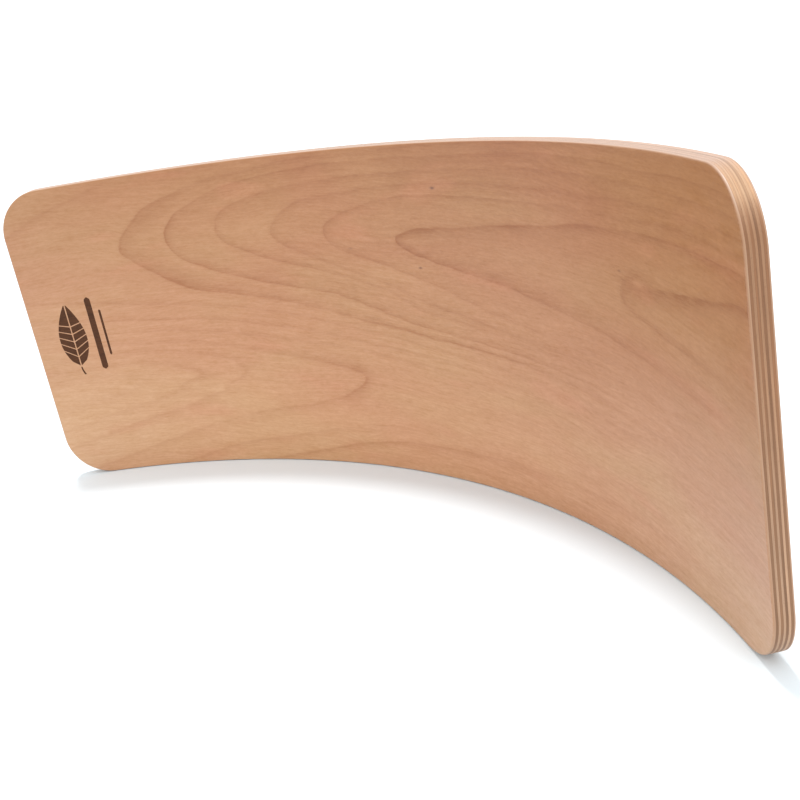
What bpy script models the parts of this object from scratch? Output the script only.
"""Balance board: one curved board, bent and glued from nine beech veneers.

Frame: metres, +Z up. The board stands on one of its long edges, as it is
stored. X runs along the chord of the curve, +Y points to the convex side,
and the origin is the middle of the whole board's box at floor level.

Build-up, from the concave (standing) side to the convex (rocking) side:
face veneer, seven core veneers, face veneer, with a glue film between
every two veneers. All layers are concentric arcs with one common outline,
a rectangle with rounded corners, cut square to the curved surface.
"""

import math

import bmesh
import bpy
from mathutils import Vector

# ---------------------------------------------------------------- dimensions
CONCAVE_RADIUS = 0.5843  # bend radius of the concave face
HALF_TURN = math.radians(42.0)  # from the middle of the board to each end
WIDTH = 0.300  # across the board, its height when it stands on edge
THICKNESS = 0.0135  # nine veneers of 1.5 mm, pressed
VENEERS = 9
GLUE_FILM = 0.00010  # thickness of one cured glue film
GLUE_CLEARANCE = 0.00002  # free space left on each side of a film
CORNER_RADIUS = 0.0436  # rounded corners of the outline
ARRIS_RADIUS = 0.0012  # softened edge of both face veneers

STRAIGHT_STEPS = 48  # facets along each long edge, between the corners
CORNER_STEPS = 6  # facets round each corner
ARRIS_STEPS = 3  # facets round each softened edge

GLUE_SPACE = GLUE_FILM + 2 * GLUE_CLEARANCE
VENEER = (THICKNESS - (VENEERS - 1) * GLUE_SPACE) / VENEERS
HALF_LENGTH = CONCAVE_RADIUS * HALF_TURN  # along the concave face

# Colour (linear), roughness and metallic value of each kind of layer.
FINISHES = {
    "beech_face": ((0.503, 0.254, 0.148, 1.0), 0.42, 0.0),
    "beech_light": ((0.590, 0.360, 0.225, 1.0), 0.55, 0.0),
    "beech_dark": ((0.330, 0.165, 0.095, 1.0), 0.60, 0.0),
    "glue": ((0.240, 0.125, 0.070, 1.0), 0.45, 0.0),
}


def clear_scene():
    for obj in list(bpy.data.objects):
        bpy.data.objects.remove(obj, do_unlink=True)


def make_material(name, finish):
    colour, roughness, metallic = FINISHES[finish]
    material = bpy.data.materials.new(name)
    material.use_nodes = True
    shader = material.node_tree.nodes["Principled BSDF"]
    shader.inputs["Base Color"].default_value = colour
    shader.inputs["Roughness"].default_value = roughness
    shader.inputs["Metallic"].default_value = metallic
    material.diffuse_color = colour
    return material


def half_outline(inset):
    """The lower half of the flat outline as (along, up) pairs, left to right.

    It starts at the top of the left end's lower corner and ends at the
    same height on the right. The upper half is its mirror image.
    """
    radius = CORNER_RADIUS - inset
    centre = HALF_LENGTH - CORNER_RADIUS
    points = []
    for i in range(CORNER_STEPS + 1):
        turn = 0.5 * math.pi * i / CORNER_STEPS
        points.append(
            (-centre - radius * math.cos(turn), CORNER_RADIUS - radius * math.sin(turn))
        )
    for i in range(1, STRAIGHT_STEPS):
        points.append((-centre + 2 * centre * i / STRAIGHT_STEPS, inset))
    for i in range(CORNER_STEPS + 1):
        turn = 0.5 * math.pi * (1 - i / CORNER_STEPS)
        points.append(
            (centre + radius * math.cos(turn), CORNER_RADIUS - radius * math.sin(turn))
        )
    return points


def bend(along, up, depth):
    """A point of the flat outline, bent round the arc's centre on the Z axis.

    depth is measured from the concave face towards the convex one.
    """
    turn = along / CONCAVE_RADIUS
    radius = CONCAVE_RADIUS + depth
    return Vector((radius * math.sin(turn), radius * math.cos(turn), up))


def ring(mesh, depth, inset):
    """One closed loop of points at a depth: the lower half, then the upper."""
    half = half_outline(inset)
    lower = [mesh.verts.new(bend(a, u, depth)) for a, u in half]
    upper = [mesh.verts.new(bend(a, WIDTH - u, depth)) for a, u in half]
    return lower, upper


def join_rings(mesh, first, second):
    loop_a = first[0] + first[1][::-1]
    loop_b = second[0] + second[1][::-1]
    count = len(loop_a)
    for i in range(count):
        j = (i + 1) % count
        mesh.faces.new((loop_a[i], loop_a[j], loop_b[j], loop_b[i]))


def cap(mesh, rim):
    """Closes a ring with one flat upright strip for each pair of columns."""
    lower, upper = rim
    for i in range(len(lower) - 1):
        mesh.faces.new((lower[i], lower[i + 1], upper[i + 1], upper[i]))


def layer_sections(start, end, soften_start, soften_end):
    """(depth, inset) of every ring of a layer, from concave to convex side."""
    sections = []
    if soften_start:
        for i in range(ARRIS_STEPS):
            turn = 0.5 * math.pi * i / ARRIS_STEPS
            sections.append(
                (
                    start + ARRIS_RADIUS * (1 - math.cos(turn)),
                    ARRIS_RADIUS * (1 - math.sin(turn)),
                )
            )
        sections.append((start + ARRIS_RADIUS, 0.0))
    else:
        sections.append((start, 0.0))
    if soften_end:
        sections.append((end - ARRIS_RADIUS, 0.0))
        for i in range(1, ARRIS_STEPS + 1):
            turn = 0.5 * math.pi * i / ARRIS_STEPS
            sections.append(
                (
                    end - ARRIS_RADIUS * (1 - math.sin(turn)),
                    ARRIS_RADIUS * (1 - math.cos(turn)),
                )
            )
    else:
        sections.append((end, 0.0))
    return sections


def make_layer(name, start, end, finish, parent, soften_start=False, soften_end=False):
    mesh = bmesh.new()
    rings = [
        ring(mesh, depth, inset)
        for depth, inset in layer_sections(start, end, soften_start, soften_end)
    ]
    for first, second in zip(rings, rings[1:]):
        join_rings(mesh, first, second)
    cap(mesh, rings[0])
    cap(mesh, rings[-1])
    bmesh.ops.recalc_face_normals(mesh, faces=mesh.faces)
    data = bpy.data.meshes.new(name)
    mesh.to_mesh(data)
    mesh.free()
    data.shade_smooth()
    data.set_sharp_from_angle(angle=math.radians(40))
    data.materials.append(make_material(name, finish))
    obj = bpy.data.objects.new(name, data)
    bpy.context.scene.collection.objects.link(obj)
    obj.parent = parent
    return obj


def veneer_name(index):
    if index == 0:
        return "concave_face_veneer"
    if index == VENEERS - 1:
        return "convex_face_veneer"
    return f"core_veneer_{index + 1}"


def main():
    clear_scene()
    arc_centre = bpy.data.objects.new("arc_centre", None)
    bpy.context.scene.collection.objects.link(arc_centre)

    layers = []
    depth = 0.0
    for index in range(VENEERS):
        first, last = index == 0, index == VENEERS - 1
        if first or last:
            finish = "beech_face"
        else:
            finish = "beech_dark" if index % 2 else "beech_light"
        layers.append(
            make_layer(
                veneer_name(index), depth, depth + VENEER, finish, arc_centre, first, last
            )
        )
        depth += VENEER
        if not last:
            start = depth + GLUE_CLEARANCE
            layers.append(
                make_layer(
                    f"glue_film_{index + 1}", start, start + GLUE_FILM, "glue", arc_centre
                )
            )
            depth += GLUE_SPACE

    # The origin is the middle of the board's box, so the arc's centre lies
    # on the concave side of it.
    depths = [v.co.y for obj in layers for v in obj.data.vertices]
    arc_centre.location = (0.0, -0.5 * (min(depths) + max(depths)), 0.0)
    bpy.context.view_layer.update()


main()
